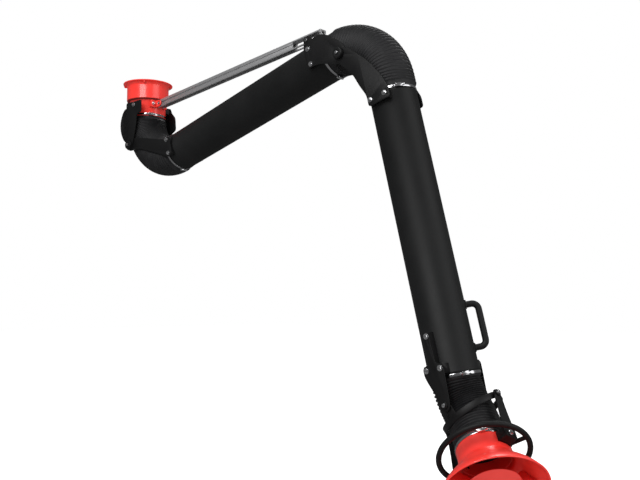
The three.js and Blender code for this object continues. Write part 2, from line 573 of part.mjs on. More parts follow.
const elbowStrapOutline = [
  [-26, -12, 18], [-14, 26, 18], [30, 68, 30], [80, 110, 40], [150, 148, 40], [196, 164, 10], [234, 164, 10],
  [234, 74, 10], [192, 74, 14], [150, 54, 60], [96, 36, 60], [40, -6, 40], [6, -28, 18]];
const hoodBracketOutline = [
  [1006, -9, 8], [1030, -9, 8], [1104, -12, 20], [1112, -36, 10], [1140, -36, 14],
  [1216, -4, 20], [1240, -3, 10], [1250, 6, 8], [1250, 22, 8], [1240, 31, 10], [1216, 33, 20],
  [1140, 36, 14], [1112, 36, 10], [1104, 12, 20], [1030, 9, 8], [1006, 9, 8]]
  .map(([x, z, radius]) => [x, z + TUBE_2_AXIS_Z, radius]);
for (const [word, side] of SIDES) {
  const saddle = () => tubeTwoAxis(saddleTool(TUBE_2_START - 20, TUBE_2_END + 20));
  const [near, far] = side < 0 ? [-OUTER_PLATE_Y - 1, -40] : [40, OUTER_PLATE_Y + 1];
  const foot = box(199, 231, near, far, TUBE_2_AXIS_Z - 38, TUBE_2_AXIS_Z + 38);
  const strap = join(sidePlate(elbowStrapOutline, OUTER_PLATE_Y, PLATE, side), foot);
  const pivotHole = alongY(rod(-110, 110, STUD_HOLE_R, 8), 1);
  const strapHoles = elbowStrapBolts.map(boltHole);
  add(armTwo, `elbow_strap_${word}`, cut(strap, saddle(), pivotHole, ...strapHoles), blackSteel);
  const pivot = pivotBolt(INNER_PLATE_Y, OUTER_PLATE_Y + PLATE, side, ELBOW_KNOB_HIGH);
  add(armTwo, `elbow_pivot_${word}`, pivot, blackSteel);
  const [low, high] = side < 0 ? [-GIMBAL_PLATE_Y - 1, -50] : [50, GIMBAL_PLATE_Y + 1];
  const lowFoot = box(1109, 1139, low, high, TUBE_2_AXIS_Z - 34, TUBE_2_AXIS_Z + 34);
  const topFoot = box(1008, 1112, low, high, TUBE_2_AXIS_Z - 8, TUBE_2_AXIS_Z + 8);
  const bracket = join(sidePlate(hoodBracketOutline, GIMBAL_PLATE_Y, PLATE, side), lowFoot, topFoot);
  const gimbalHole = alongY(rod(-140, 140, STUD_HOLE_R, 8), 1).translate(GIMBAL_X, 0, GIMBAL_Z);
  const bracketHoles = hoodBracketBolts.map(boltHole);
  add(armTwo, `hood_bracket_${word}`, cut(bracket, saddle(), gimbalHole, ...bracketHoles), blackSteel);
  const bracketStuds = studs(hoodBracketBolts, 64, GIMBAL_PLATE_Y + PLATE + FIT_GAP, side);
  add(armTwo, `hood_bracket_bolts_${word}`, bracketStuds, zincSteel);
}
const elbowStrapBand = studBand(elbowStrapBolts, TUBE_2_AXIS_Z, OUTER_PLATE_Y + PLATE + FIT_GAP);
add(armTwo, "elbow_strap_studs", elbowStrapBand, zincSteel);

// Bow handle: one bent bar with both ends on the tube
function bowHandle() {
  const foot = TUBE_R + FIT_GAP;
  const top = TUBE_R + HANDLE_STAND - HANDLE_BAR_R;
  const corner = 18;
  const path = new THREE.CurvePath();
  const at = (x, z) => new THREE.Vector3(x, 0, z);
  path.add(new THREE.LineCurve3(at(HANDLE_START, foot), at(HANDLE_START, top - corner)));
  path.add(new THREE.QuadraticBezierCurve3(
    at(HANDLE_START, top - corner), at(HANDLE_START, top), at(HANDLE_START + corner, top)));
  path.add(new THREE.LineCurve3(at(HANDLE_START + corner, top), at(HANDLE_END - corner, top)));
  path.add(new THREE.QuadraticBezierCurve3(
    at(HANDLE_END - corner, top), at(HANDLE_END, top), at(HANDLE_END, top - corner)));
  path.add(new THREE.LineCurve3(at(HANDLE_END, top - corner), at(HANDLE_END, foot)));
  const round = new THREE.Shape();
  round.absarc(0, 0, HANDLE_BAR_R, 0, 2 * Math.PI);
  const sweep = { steps: 18, bevelEnabled: false, extrudePath: path, curveSegments: 4 };
  return new THREE.ExtrudeGeometry(round, sweep);
}
const handleFeet = () => saddleTool(HANDLE_START - 60, HANDLE_END + 60, TUBE_R - 0.6);
add(armTwo, "bow_handle", tubeTwoAxis(cut(bowHandle(), handleFeet()).rotateX(HANDLE_TURN)), blackPaint);

// Gimbal ring and its four pivots: the front and rear ones in the arm's plane, the other pair across it
const GIMBAL_INNER_R = 99;
const GIMBAL_OUTER_R = 103;
const GIMBAL_HALF_WIDTH = 10;
function gimbalRing() {
  const [edge0, edge1] = [RING_OFFSET - GIMBAL_HALF_WIDTH, RING_OFFSET + GIMBAL_HALF_WIDTH];
  const band = tubeRing(edge0, edge1, GIMBAL_INNER_R, GIMBAL_OUTER_R);
  const thick = GIMBAL_OUTER_R - GIMBAL_INNER_R;
  const armOutline = [
    [-13, -8, 7], [-13, 8, 7], [8, 13, 8], [RING_OFFSET, 13], [RING_OFFSET, -13], [8, -13, 8]];
  const arms = [-1, 1].map((side) => sidePlate(armOutline, GIMBAL_INNER_R, thick, side));
  const acrossY = alongY(rod(-110, 110, STUD_HOLE_R, 8), 1);
  const acrossZ = upright(rod(-110, 110, STUD_HOLE_R, 8)).translate(RING_OFFSET, 0, 0);
  return cut(join(band, ...arms), acrossY, acrossZ);
}
add(gimbal, "gimbal_ring", gimbalRing(), blackSteel);
function gimbalPivot() {
  const insideRing = GIMBAL_INNER_R - 1;
  return turned([
    [insideRing - 2, 0], [insideRing - 2, HEAD_R], [insideRing, HEAD_R], [insideRing, STUD_R],
    [GIMBAL_OUTER_R + 0.6, STUD_R], [GIMBAL_OUTER_R + 0.6, HEAD_R], [GIMBAL_PLATE_Y - FIT_GAP, HEAD_R],
    [GIMBAL_PLATE_Y - FIT_GAP, STUD_R], [GIMBAL_PLATE_Y + PLATE + FIT_GAP, STUD_R],
    [GIMBAL_PLATE_Y + PLATE + FIT_GAP, PIVOT_NUT_R], [GIMBAL_PLATE_Y + PLATE + 9, PIVOT_NUT_R],
    [GIMBAL_PLATE_Y + PLATE + 9, 0]], 8);
}
for (const [word, side] of SIDES) {
  add(gimbal, `gimbal_pivot_${word}`, alongY(gimbalPivot(), side), blackSteel);
}

// Suction hood: neck and flare in one shell, with two ears, a ring handle and a hose clamp
function hoodProfile() {
  const outer = [[NECK_START + FIT_GAP, NECK_R], [FLARE_START, NECK_R]];
  const steps = 6;
  const flareLength = RIM_X - FLARE_START;
  for (let i = 1; i <= steps; i += 1) {
    const t = i / steps;
    const swell = Math.sin((Math.PI / 2) * t ** 1.25) * 0.62 + t * 0.38;
    outer.push([FLARE_START + flareLength * t, NECK_R + (RIM_R - NECK_R) * swell]);
  }
  return outer;
}
function hoodShell() {
  const outer = hoodProfile();
  const inner = outer.map(([x, radius]) => [x, radius - HOOD_WALL]).reverse();
  return turned([...outer, ...inner, outer[0]], ROUND_SEGMENTS);
}
const EAR_BOLT_X = 152;
const earHole = () => upright(rod(-130, 130, STUD_HOLE_R, 8)).translate(EAR_BOLT_X, 0, 0);
add(hood, "hood_shell", cut(hoodShell(), earHole()), redPaint);

// Baffle in the hood's mouth: a disc on two fins that reach back to the flare
function hoodBaffle() {
  const disc = rod(BAFFLE_X, BAFFLE_X + 2, BAFFLE_R, ROUND_SEGMENTS);
  const finOutline = [
    [BAFFLE_X + 1, 36], [BAFFLE_X + 1, 76], [236, 150], [212, 150], [212, 92], [240, 50]];
  const fins = [];
  for (let i = 0; i < BAFFLE_FINS; i += 1) {
    fins.push(sidePlate(finOutline, -1.5, 3, 1).rotateX(BAFFLE_FIN_START + (2 * Math.PI * i) / BAFFLE_FINS));
  }
  const wall = hoodProfile().map(([x, radius]) => [x, radius - HOOD_WALL - FIT_GAP]);
  const outside = turned([...wall, [RIM_X, 220], [NECK_START, 220], wall[0]], ROUND_SEGMENTS);
  return cut(join(disc, ...fins), outside);
}
add(hood, "hood_baffle", hoodBaffle(), redPaint);
add(hood, "hood_clamp", tubeRing(NECK_START + 1, NECK_START + 12, NECK_R + FIT_GAP, NECK_R + 2), zincSteel);

// An ear lies flat across the gimbal's second axis; it is made as a side plate and turned to face up or down
const earOutline = [
  [-12, -7, 6], [-4, -14, 8], [70, -16, 40], [136, -24, 8], [168, -24, 8],
  [168, 24, 8], [136, 24, 8], [70, 16, 40], [-4, 14, 8], [-12, 7, 6]];
const EARS = [["upper", 1], ["lower", -1]];
for (const [word, side] of EARS) {
  const toFace = (geometry) => geometry.rotateX(Math.PI / 2);
  const [near, far] = side < 0 ? [-GIMBAL_PLATE_Y - 1, -60] : [60, GIMBAL_PLATE_Y + 1];
  const foot = box(137, 167, near, far, -22, 22);
  const plate = join(sidePlate(earOutline, GIMBAL_PLATE_Y, PLATE, side), foot);
  const holes = [0, EAR_BOLT_X].map((x) => alongY(rod(-130, 130, STUD_HOLE_R, 8), 1).translate(x, 0, 0));
  const ear = cut(plate, saddleTool(NECK_START, RIM_X, NECK_R), ...holes);
  add(hood, `hood_ear_${word}`, toFace(ear), blackSteel);
  const earBolt = studs([[EAR_BOLT_X, 0]], 70, GIMBAL_PLATE_Y + PLATE + FIT_GAP, side);
  add(hood, `hood_ear_bolt_${word}`, toFace(earBolt), zincSteel);
  add(hood, `hood_pivot_${word}`, toFace(alongY(gimbalPivot(), side)), blackSteel);
}

// Ring handle: a round bar on two spokes that stand on the neck
function ringHandle() {
  const bar = new THREE.TorusGeometry(RING_HANDLE_R, RING_HANDLE_BAR_R, 6, 30).rotateY(Math.PI / 2);
  const spokes = RING_SPOKE_ANGLES.map((angle) => {
    const spoke = upright(rod(-RING_HANDLE_R, -NECK_R - FIT_GAP, RING_SPOKE_R, 8));
    return spoke.rotateX(THREE.MathUtils.degToRad(angle));
  });
  return cut(join(bar, ...spokes).translate(RING_HANDLE_X, 0, 0), saddleTool(NECK_START, RIM_X, NECK_R));
}
add(hood, "ring_handle", ringHandle(), blackPaint);

// Hoses: base and elbow follow round bends; the hood's hose is two halves that meet in the gimbal ring
const down = new THREE.Vector3(0, 0, -1);
const baseTurn = Math.PI / 2 + TUBE_1_ELEVATION;
const baseLead = -BASE_PIVOT_Z + COLLAR_END_Z - TUBE_1_AXIS_Z / Math.cos(TUBE_1_ELEVATION);
const baseReach = BASE_BEND_R * Math.tan(baseTurn / 2);
const tubeOneCorner = -TUBE_1_AXIS_Z * Math.tan(TUBE_1_ELEVATION);
const baseOut = TUBE_1_START + tubeOneCorner - baseReach - 2 * FIT_GAP;
const baseStart = new THREE.Vector3(0, 0, COLLAR_END_Z - FIT_GAP);
const baseRun = baseLead - FIT_GAP - baseReach;
const basePath = bendPath(baseStart, down, baseRun, BASE_BEND_R, -baseTurn, baseOut + FIT_GAP);
add(swivel, "base_hose", hoseAlong(basePath, Y_AXIS), rubber);

const forward = new THREE.Vector3(1, 0, 0);
const elbowReach = ELBOW_BEND_R * Math.tan(ELBOW_TURN / 2);
const axisTwo = new THREE.Vector3(Math.sin(ELBOW_TURN), 0, Math.cos(ELBOW_TURN));
const tubeTwoCross = ELBOW_X + TUBE_2_AXIS_Z * axisTwo.x + cornerRun() * axisTwo.z;
function cornerRun() {
  return (TUBE_1_AXIS_Z - ELBOW_Z - TUBE_2_AXIS_Z * axisTwo.z) / -axisTwo.x;
}
const elbowLead = tubeTwoCross - elbowReach - TUBE_1_END;
const elbowOut = TUBE_2_START - cornerRun() - elbowReach;
const elbowStart = new THREE.Vector3(TUBE_1_END + FIT_GAP, 0, TUBE_1_AXIS_Z);
const elbowRun = elbowLead - FIT_GAP;
const elbowPath = bendPath(elbowStart, forward, elbowRun, ELBOW_BEND_R, ELBOW_TURN, elbowOut - FIT_GAP);
add(armOne, "elbow_hose", hoseAlong(elbowPath, Y_AXIS), rubber);

// The hood's hose leaves tube 2 straight, bends round the gimbal's centre and enters the neck straight.
const tubeAim = new THREE.Vector3(Math.cos(GIMBAL_TILT), 0, -Math.sin(GIMBAL_TILT));
const neckAim = new THREE.Vector3(Math.cos(HOOD_TILT), -Math.sin(HOOD_TILT), 0);
const tubeSide = new THREE.Vector3(Math.sin(GIMBAL_TILT), 0, Math.cos(GIMBAL_TILT));
const tubeEnd = tubeAim.clone().multiplyScalar(TUBE_2_END + FIT_GAP - GIMBAL_X);
tubeEnd.addScaledVector(tubeSide, TUBE_2_AXIS_Z - GIMBAL_Z);
const neckEnd = hood.position.clone().addScaledVector(neckAim, NECK_START);
const [tubeRun, neckRun] = [80, 130];
const hoodPath = new THREE.CubicBezierCurve3(
  tubeEnd, tubeEnd.clone().addScaledVector(tubeAim, tubeRun),
  neckEnd.clone().addScaledVector(neckAim, -neckRun), neckEnd);
const hoodLength = hoodPath.getLength();

// How far along the hose it passes the middle of the gimbal ring.
function ringCrossing() {
  const steps = 400;
  let step = 0;
  while (hoodPath.getPointAt(step / steps).x < RING_OFFSET) step += 1;
  return (hoodLength * step) / steps;
}

function hoodHosePiece(from, to) {
  const share = (along) => Math.min(1, (from + along) / hoodLength);
  const pointAt = (along) => hoodPath.getPointAt(share(along));
  const tangentAt = (along) => hoodPath.getTangentAt(share(along));
  return ribbedHose(pointAt, tangentAt, to - from, Y_AXIS, HOOD_HOSE_RIB_R);
}
add(gimbal, "hood_hose_upper", hoodHosePiece(0, ringCrossing() - FIT_GAP), rubber);
add(gimbal, "hood_hose_lower", hoodHosePiece(ringCrossing() + FIT_GAP, hoodLength), rubber);

export default arm;
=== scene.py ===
"""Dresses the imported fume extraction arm: red flange, black ducts, ribbed hoses, stay rail and hood."""
import json
import math

import bmesh
import bpy
from mathutils import Matrix, Vector


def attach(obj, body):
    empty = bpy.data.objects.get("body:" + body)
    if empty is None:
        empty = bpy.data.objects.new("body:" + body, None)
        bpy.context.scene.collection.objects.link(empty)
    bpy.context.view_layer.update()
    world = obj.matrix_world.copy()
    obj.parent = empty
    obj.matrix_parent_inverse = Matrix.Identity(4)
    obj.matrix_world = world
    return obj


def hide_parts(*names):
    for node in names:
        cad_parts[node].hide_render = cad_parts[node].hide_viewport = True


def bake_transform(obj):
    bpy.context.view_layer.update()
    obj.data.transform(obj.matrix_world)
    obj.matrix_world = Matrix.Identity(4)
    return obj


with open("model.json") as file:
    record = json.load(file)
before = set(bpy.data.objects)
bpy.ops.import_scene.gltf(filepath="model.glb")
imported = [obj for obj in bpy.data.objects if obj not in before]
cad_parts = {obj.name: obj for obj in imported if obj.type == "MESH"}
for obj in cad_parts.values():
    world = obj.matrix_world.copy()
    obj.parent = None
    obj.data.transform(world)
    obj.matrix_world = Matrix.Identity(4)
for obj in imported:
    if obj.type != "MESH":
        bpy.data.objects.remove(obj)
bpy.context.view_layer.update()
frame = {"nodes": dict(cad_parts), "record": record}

MM = 0.001
SIDES = (("front", -1), ("rear", 1))
HOOD_SIDES = (("upper", 1), ("lower", -1))

# Ducts and hoses, in millimetres: a tube is its start, end and axis height, ribs are a radius and a depth
TUBE_R = 80
TUBE_WALL = 1.5
FIT_GAP = 0.4
TUBE_1 = (221, 1151, -110)
TUBE_2 = (184, 1156, 115)
HOSE_RIBS = (86, 3.5)
HOOD_HOSE_RIBS = (79, 5)
HOSE_WALL = 4
RIB_PITCH = 10.5
CUFF_R = 79.6
CUFF = 14
LONG_CUFF = 34
HOOD_CUFF = 10
BASE_BEND_R = 180
ELBOW_BEND_R = 190
HOOD_HOSE_LEAD = 80
HOOD_HOSE_RUN_IN = 130
HOOD_HOSE_STEPS = 160

# Flange and swivel, as depths below the flange's top face
FLANGE_R = 110
FLANGE_BOLT_CIRCLE_R = 102
SLEEVE_R = 93
SLEEVE_INNER_R = 90
FLARE_R = 15
COLLAR_TOP = 40
SLIDE_TOP = 50
SEAM_DEPTH = 79
COLLAR_DEPTH = 157

# Joints: each one along and above the section before it, with its angle in degrees
BASE_PIVOT_DEPTH = 290
LIFT = 14.9
ELBOW_X = 1232
ELBOW_Z = -167
FOLD = 91
GIMBAL_X = 1232
GIMBAL_Z = 129
GIMBAL_TILT = 26.1
HOOD_TURN = 31
RAIL_HINGE_X = 112
RAIL_HINGE_Z = -104
RAIL_TILT = 5.9
RAIL_PIN = (900, 0, -6)

# Plates, bolts and knobs
PLATE = 4
INNER_PLATE_Y = 88.5
OUTER_PLATE_Y = 93
GIMBAL_PLATE_Y = 107
INNER_SEAT = INNER_PLATE_Y + PLATE + FIT_GAP
OUTER_SEAT = OUTER_PLATE_Y + PLATE + FIT_GAP
GIMBAL_SEAT = GIMBAL_PLATE_Y + PLATE + FIT_GAP
BOLT_R = 4
HEAD_R = 7
HEAD_HIGH = 6
WASHER_HIGH = 1.4
WASHER_LAP = 2.2
KNOB_R = 20
BASE_KNOB_HIGH = 9
ELBOW_KNOB_HIGH = 16
NUT_R = 6.5

# Hood, along its own axis from the middle of the gimbal ring, which stands ahead of the tilt pivots
RING_OFFSET = 45
RING_INNER_R = 99
RING_OUTER_R = 103
NECK_START = 123
NECK_R = 80
NECK_LAP = 168
FLARE_START = 188
RIM_X = 282
RIM_R = 156
HOOD_WALL = 2
BAFFLE_X = 264
BAFFLE_R = 81
FIN_START = 212
FIN_END = 248
FIN_ANGLES = (121.5, 301.5)
EAR_BOLT_X = 152
RING_HANDLE_X = 152
RING_HANDLE_R = 134
RING_HANDLE_BAR_R = 8.5
SPOKE_R = 6.5
SPOKE_ANGLES = (216, 336)

# Bow handle, along tube 2
HANDLE_START = 936
HANDLE_END = 1074
HANDLE_STAND = 50
HANDLE_BAR_R = 10.5
HANDLE_BEND_R = 20
HANDLE_TURN = -40

# Height of the floor in metres, below the arm in every pose
FLOOR_Z = -2.2


def turn(degrees, axis):
    return Matrix.Rotation(math.radians(degrees), 4, axis)


def shift(x, y, z):
    return Matrix.Translation(Vector((x, y, z)) * MM)


# Each section's own frame at rest: along +X from its pivot
DOWN = turn(90, "Y")
RAIL = shift(RAIL_HINGE_X, 0, RAIL_HINGE_Z) @ turn(-RAIL_TILT, "Y")
ARM_1 = shift(0, 0, -BASE_PIVOT_DEPTH) @ turn(-LIFT, "Y")
ARM_2 = ARM_1 @ shift(ELBOW_X, 0, ELBOW_Z) @ turn(FOLD, "Y")
GIMBAL = ARM_2 @ shift(GIMBAL_X, 0, GIMBAL_Z) @ turn(-GIMBAL_TILT, "Y")
HOOD = GIMBAL @ shift(RING_OFFSET, 0, 0) @ turn(-HOOD_TURN, "Z")
DUCT_1 = ARM_1 @ shift(0, 0, TUBE_1[2])
DUCT_2 = ARM_2 @ shift(0, 0, TUBE_2[2])


class Wire:
    """A node's output that takes part in Python arithmetic."""

    def __init__(self, finish, socket):
        self.finish = finish
        self.socket = socket

    def math(self, operation, first, second):
        return self.finish.node("ShaderNodeMath", "Value", {"operation": operation}, {0: first, 1: second})

    def __add__(self, other):
        return self.math("ADD", self, other)

    def __sub__(self, other):
        return self.math("SUBTRACT", self, other)

    def __rsub__(self, other):
        return self.math("SUBTRACT", other, self)

    def __mul__(self, other):
        return self.math("MULTIPLY", self, other)


class Finish:
    """One procedural surface finish on a Principled shader."""

    def __init__(self, name, **sockets):
        self.material = bpy.data.materials.new(name)
        self.material.use_nodes = True
        self.tree = self.material.node_tree
        self.shader = self.tree.nodes["Principled BSDF"]
        for socket, value in sockets.items():
            self.shader.inputs[socket.replace("_", " ")].default_value = value

    def node(self, kind, output, settings, inputs):
        made = self.tree.nodes.new(kind)
        for key, value in settings.items():
            if key == "stops":
                self.set_stops(made.color_ramp, value)
            else:
                setattr(made, key, value)
        for key, value in inputs.items():
            if isinstance(value, Wire):
                self.tree.links.new(value.socket, made.inputs[key])
            else:
                made.inputs[key].default_value = value
        return Wire(self, made.outputs[output])

    def set_stops(self, ramp, stops):
        while len(ramp.elements) < len(stops):
            ramp.elements.new(0.5)
        for element, (place, shade) in zip(ramp.elements, stops):
            element.position = place
            element.color = (shade, shade, shade, 1)

    def place(self, scale=(1, 1, 1), aim=None):
        """Object coordinates, turned into a section's frame and stretched."""
        raw = self.node("ShaderNodeTexCoord", "Object", {}, {})
        turned = (aim or Matrix()).inverted().to_euler()
        inputs = {"Vector": raw, "Rotation": turned, "Scale": scale}
        return self.node("ShaderNodeMapping", "Vector", {"vector_type": "POINT"}, inputs)

    def noise(self, where, scale, detail=3.0, roughness=0.55):
        inputs = {"Vector": where, "Scale": scale, "Detail": detail, "Roughness": roughness}
        return self.node("ShaderNodeTexNoise", "Fac", {}, inputs)

    def ramp(self, value, *stops):
        return self.node("ShaderNodeValToRGB", "Color", {"stops": stops}, {"Fac": value})

    def blend(self, factor, first, second):
        inputs = {0: factor, 6: (*first, 1), 7: (*second, 1)}
        return self.node("ShaderNodeMix", 2, {"data_type": "RGBA"}, inputs)

    def bump(self, height, distance, strength=1.0):
        inputs = {"Height": height, "Distance": distance, "Strength": strength}
        return self.node("ShaderNodeBump", "Normal", {}, inputs)

    def feed(self, **wires):
        for socket, wire in wires.items():
            self.tree.links.new(wire.socket, self.shader.inputs[socket.replace("_", " ")])
        return self.material


def powder_coat(name, dark, light, roughness, grain):
    """Black powder coat: a fine orange-peel skin, faintly dusty in patches."""
    finish = Finish(name, Specular_IOR_Level=0.22)
    where = finish.place()
    patches = finish.ramp(finish.noise(where, 9, 5), (0.35, 0), (0.75, 1))
    peel = finish.noise(where, grain, 2)
    scuffs = finish.ramp(finish.noise(where, 60, 6, 0.7), (0.62, 0), (0.74, 1))
    colour = finish.blend(patches * 0.6 + scuffs * 0.25, dark, light)
    return finish.feed(
        Base_Color=colour, Roughness=patches * 0.1 + peel * 0.08 + scuffs * 0.08 + roughness,
        Normal=finish.bump(peel, 0.00025, 0.35))


def red_lacquer():
    """Glossy red lacquer with a slight depth of tone and a soft ripple."""
    finish = Finish("red_lacquer", Coat_Roughness=0.12, Specular_IOR_Level=0.4)
    where = finish.place()
    tone = finish.ramp(finish.noise(where, 14, 4), (0.3, 0), (0.7, 1))
    ripple = finish.noise(where, 260, 2)
    specks = finish.ramp(finish.noise(where, 420, 3, 0.7), (0.68, 0), (0.78, 1))
    colour = finish.blend(tone * 0.7 + specks * 0.3, (0.80, 0.030, 0.022), (0.90, 0.048, 0.034))
    return finish.feed(
        Base_Color=colour, Roughness=tone * 0.06 + specks * 0.15 + 0.30,
        Coat_Weight=0.45 - specks * 0.2, Normal=finish.bump(ripple, 0.0003, 0.2))


def hose_fabric():
    """Coated hose cloth: a fine weave, matt, with dust in patches."""
    finish = Finish("hose_fabric", Specular_IOR_Level=0.3)
    where = finish.place()
    warp = finish.node("ShaderNodeTexWave", "Fac", {"bands_direction": "X"}, {"Vector": where, "Scale": 420})
    weft = finish.node("ShaderNodeTexWave", "Fac", {"bands_direction": "Z"}, {"Vector": where, "Scale": 420})
    dust = finish.ramp(finish.noise(where, 26, 5), (0.45, 0), (0.8, 1))
    colour = finish.blend(dust * 0.7, (0.009, 0.009, 0.010), (0.020, 0.020, 0.021))
    return finish.feed(
        Base_Color=colour, Roughness=dust * 0.12 + 0.56, Normal=finish.bump(warp * weft, 0.0003, 0.35))


def bright_zinc():
    """Zinc-plated steel: bright, with a faint cloudy stain."""
    finish = Finish("bright_zinc", Metallic=1.0)
    where = finish.place()
    stain = finish.noise(where, 30, 3)
    grain = finish.noise(where, 320, 2)
    colour = finish.blend(stain * 0.7 + grain * 0.3, (0.86, 0.86, 0.87), (0.70, 0.71, 0.73))
    return finish.feed(
        Base_Color=colour, Roughness=stain * 0.08 + grain * 0.04 + 0.12,
        Normal=finish.bump(grain, 0.0001, 0.08))


def rolled_band():
    """Clamp band: smooth rolled steel with faint smears, bright only where a lamp is mirrored."""
    finish = Finish("rolled_band", Metallic=1.0)
    smear = finish.noise(finish.place(), 25, 3)
    colour = finish.blend(smear, (0.62, 0.62, 0.63), (0.46, 0.46, 0.48))
    return finish.feed(Base_Color=colour, Roughness=smear * 0.06 + 0.13)


def drawn_aluminium():
    """Mill-finish aluminium: die lines along the rail, and dull patches."""
    finish = Finish("drawn_aluminium", Metallic=0.55)
    lines = finish.noise(finish.place((0.004, 1, 1), RAIL), 900, 2)
    dull = finish.ramp(finish.noise(finish.place(), 18, 5), (0.3, 0), (0.75, 1))
    colour = finish.blend(lines * 0.5 + dull * 0.5, (0.36, 0.36, 0.365), (0.25, 0.25, 0.255))
    return finish.feed(
        Base_Color=colour, Roughness=dull * 0.15 + lines * 0.1 + 0.32, Normal=finish.bump(lines, 0.0002, 0.3))


def slide_plastic():
    """Dark red bearing plastic with a moulded grain."""
    finish = Finish("bearing_plastic", Specular_IOR_Level=0.3)
    grain = finish.noise(finish.place(), 700, 3)
    colour = finish.blend(grain, (0.10, 0.006, 0.005), (0.20, 0.010, 0.008))
    return finish.feed(
        Base_Color=colour, Roughness=grain * 0.15 + 0.5, Normal=finish.bump(grain, 0.0003, 0.4))


FINISHES = {
    "black_paint": powder_coat(
        "black_duct_coat", (0.0054, 0.0057, 0.0059), (0.0094, 0.0097, 0.0099), 0.48, 850),
    "black_steel": powder_coat(
        "black_bracket_coat", (0.0045, 0.0045, 0.0048), (0.008, 0.008, 0.0083), 0.38, 1100),
    "red_paint": red_lacquer(),
    "hose_rubber": hose_fabric(),
    "zinc_steel": bright_zinc(),
    "aluminium": drawn_aluminium(),
    "slide_plastic": slide_plastic(),
}
CLAMP_BAND = rolled_band()
SLOT_OF = {part["node"]: part["material_slot"] for part in frame["record"]["subparts"]}
BODY_OF = {
    node: body for body, nodes in frame["record"]["behaviour"]["bodies"].items() for node in nodes}


def shown(bm, name, slot, keen=35):
    """Turns a bmesh into a piece with a slot's finish."""
    mesh = bpy.data.meshes.new(name)
    bm.to_mesh(mesh)
    bm.free()
    for polygon in mesh.polygons:
        polygon.use_smooth = True
    mesh.set_sharp_from_angle(angle=math.radians(keen))
    piece = bpy.data.objects.new(name, mesh)
    bpy.context.scene.collection.objects.link(piece)
    mesh.materials.append(FINISHES[slot])
    return piece


def piece_from(bm, node, keen=35, rides=True):
    """The piece that stands for a CAD node, with its slot and its body."""
    piece = shown(bm, node + "_look", SLOT_OF[node], keen)
    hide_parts(node)
    if rides:
        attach(piece, BODY_OF[node])
    return piece


def bright_trim(bm, name, body):
    """Small plated fasteners on a painted piece."""
    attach(shown(bm, name, "zinc_steel"), body)


def ease_edges(bm, edges, offset):
    bmesh.ops.bevel(
        bm, geom=edges, offset=offset * MM, offset_type="OFFSET", affect="EDGES", segments=2, profile=0.5,
        material=-1, clamp_overlap=True)


def keen_edges(bm, degrees=35):
    limit = math.radians(degrees)
    return [edge for edge in bm.edges if len(edge.link_faces) == 2 and edge.calc_face_angle(0) > limit]


def join_into(bm, shape, matrix):
    """Sets a loose shape in place and adds it to a piece."""
    bmesh.ops.transform(shape, matrix=matrix, verts=shape.verts)
    mesh = bpy.data.meshes.new("part_of_piece")
    shape.to_mesh(mesh)
    shape.free()
    bm.from_mesh(mesh)
    bpy.data.meshes.remove(mesh)


def add_turned(bm, profile, matrix, steps, ease=0.0):
    """A profile of (along, radius) pairs in millimetres, spun about X and set in place."""
    shape = bmesh.new()
    points = [shape.verts.new((x * MM, 0, radius * MM)) for x, radius in profile]
    loop = profile[0][1] > 0
    pairs = list(zip(points, points[1:] + points[:1] if loop else points[1:]))
    edges = [shape.edges.new(pair) for pair in pairs]
    bmesh.ops.spin(
        shape, geom=points + edges, cent=(0, 0, 0), axis=(1, 0, 0), dvec=(0, 0, 0), angle=2 * math.pi,
        steps=steps, use_merge=True, use_duplicate=False)
    bmesh.ops.remove_doubles(shape, verts=shape.verts, dist=1e-6)
    bmesh.ops.recalc_face_normals(shape, faces=shape.faces)
    if ease:
        ease_edges(shape, keen_edges(shape), ease)
    join_into(bm, shape, matrix)


def add_block(bm, low, high, matrix, ease=0.8):
    shape = bmesh.new()
    size = [(b - a) * MM for a, b in zip(low, high)]
    middle = [(a + b) / 2 for a, b in zip(low, high)]
    bmesh.ops.create_cube(shape, size=1, matrix=shift(*middle) @ Matrix.Diagonal((*size, 1)))
    ease_edges(shape, shape.edges[:], ease)
    join_into(bm, shape, matrix)


def add_hex(bm, start, high, radius, matrix, crown=1.2):
    """A hexagon head along +X with a chamfered crown."""
    shape = bmesh.new()
    bmesh.ops.create_cone(
        shape, cap_ends=True, segments=6, radius1=radius * MM, radius2=radius * MM, depth=high * MM,
        matrix=shift(start + high / 2, 0, 0) @ turn(90, "Y"))
    middle = (start + high / 2) * MM
    far = [edge for edge in shape.edges if all(vert.co.x > middle for vert in edge.verts)]
    ease_edges(shape, far, crown)
    join_into(bm, shape, matrix)


def add_rod(bm, start, end, radius, matrix, steps, ease=0.0):
    """A plain round rod along +X."""
    add_turned(bm, [(start, 0), (start, radius), (end, radius), (end, 0)], matrix, steps, ease)


def add_bolt(bm, shank_from, head_at, matrix, head_r=HEAD_R):
    """A hexagon bolt along +X: shank, washer and head."""
    add_rod(bm, shank_from, head_at, BOLT_R, matrix, 20)
    add_rod(bm, head_at, head_at + WASHER_HIGH, head_r + WASHER_LAP, matrix, 32, 0.3)
    add_hex(bm, head_at + WASHER_HIGH, HEAD_HIGH - WASHER_HIGH, head_r, matrix)


def across(side, x=0, z=0):
    """A frame whose X axis runs along Y, out of one side of the arm."""
    return shift(x, 0, z) @ turn(90 * side, "Z")


# Camera at the photograph's viewpoint
camera_data = bpy.data.cameras.new("camera")
camera_data.sensor_fit = "HORIZONTAL"
camera_data.sensor_width = 36
camera_data.lens = 44.98
camera = bpy.data.objects.new("camera", camera_data)
camera.location = (2.9862, -2.1576, -0.9977)
camera.rotation_euler = (math.radians(94.561), 0, math.radians(41.798))
bpy.context.scene.collection.objects.link(camera)
bpy.context.scene.camera = camera
bpy.context.scene.view_settings.view_transform = "Standard"


